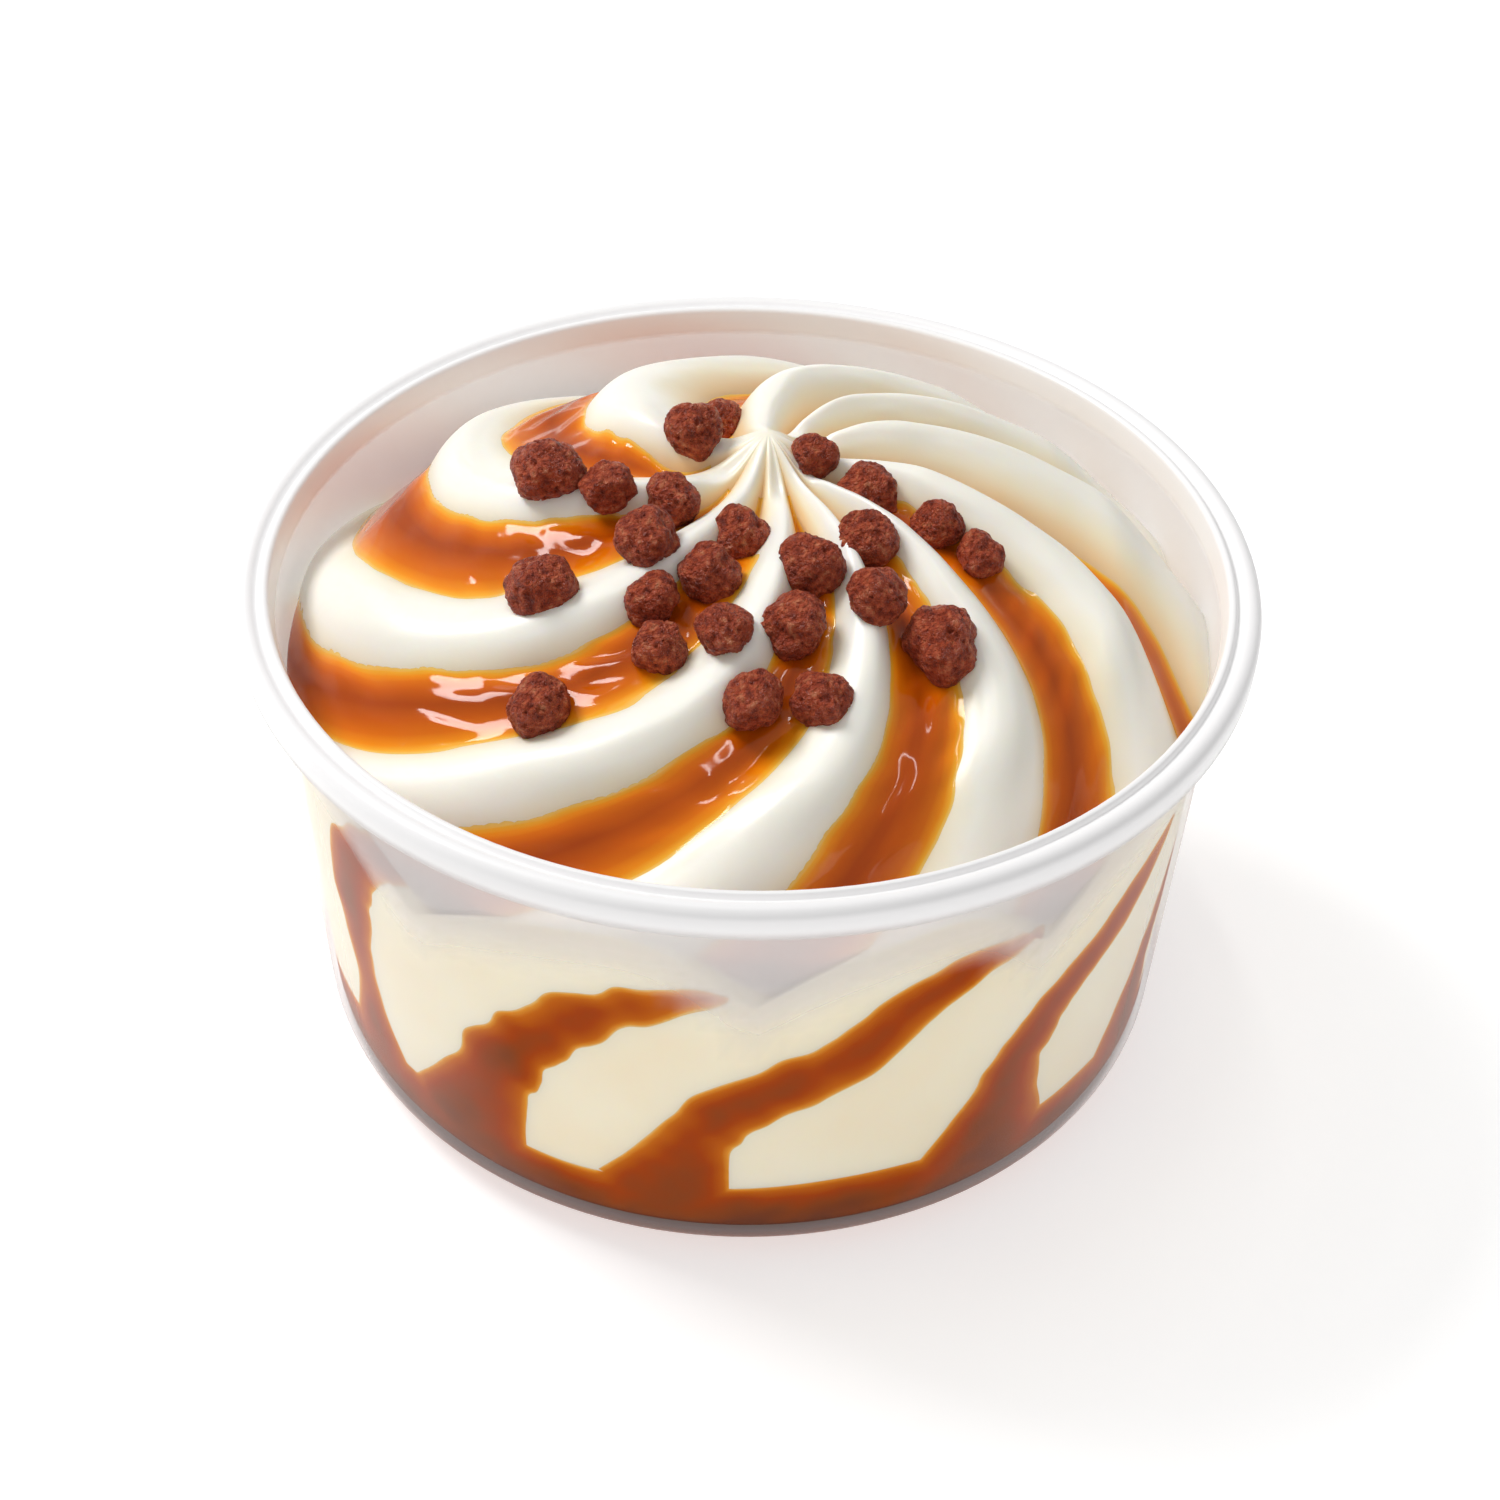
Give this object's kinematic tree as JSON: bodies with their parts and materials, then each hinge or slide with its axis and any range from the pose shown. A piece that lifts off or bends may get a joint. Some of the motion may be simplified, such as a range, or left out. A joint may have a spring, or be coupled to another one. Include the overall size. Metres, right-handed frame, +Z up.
{
  "type": "ice cream cup",
  "caption": "Round clear plastic cup of swirled soft ice cream with caramel sauce in its valleys and behind its wall, topped with crisp chocolate balls.",
  "frame": {"origin": "middle of the cup's foot, on the surface that it stands on", "axes": "+Z up through the cup; -Y is the side that the picture shows in front"},
  "size_m": [0.095, 0.095, 0.0621],
  "materials": {
    "cup": "translucent frosted plastic, satin rim",
    "cream": "soft satin ice cream",
    "caramel": "glossy amber caramel sauce",
    "chocolate": "rough reddish brown chocolate crisp"
  },
  "bodies": {
    "root": {"cup": "cup", "ice_cream": "cream", "caramel_base": "caramel", "caramel_sauce_01": "caramel", "caramel_sauce_02": "caramel", "caramel_sauce_03": "caramel", "caramel_sauce_04": "caramel", "caramel_sauce_05": "caramel", "caramel_sauce_06": "caramel", "caramel_sauce_09": "caramel", "caramel_sauce_10": "caramel", "choc_ball_01": "chocolate", "choc_ball_02": "chocolate", "choc_ball_03": "chocolate", "choc_ball_04": "chocolate", "choc_ball_05": "chocolate", "choc_ball_06": "chocolate", "choc_ball_07": "chocolate", "choc_ball_08": "chocolate", "choc_ball_09": "chocolate", "choc_ball_10": "chocolate", "choc_ball_11": "chocolate", "choc_ball_12": "chocolate", "choc_ball_13": "chocolate", "choc_ball_14": "chocolate", "choc_ball_15": "chocolate", "choc_ball_16": "chocolate", "choc_ball_17": "chocolate", "choc_ball_18": "chocolate", "choc_ball_19": "chocolate", "choc_ball_20": "chocolate", "choc_ball_21": "chocolate", "choc_ball_22": "chocolate", "choc_ball_23": "chocolate", "choc_ball_24": "chocolate"}
  },
  "joints": []
}
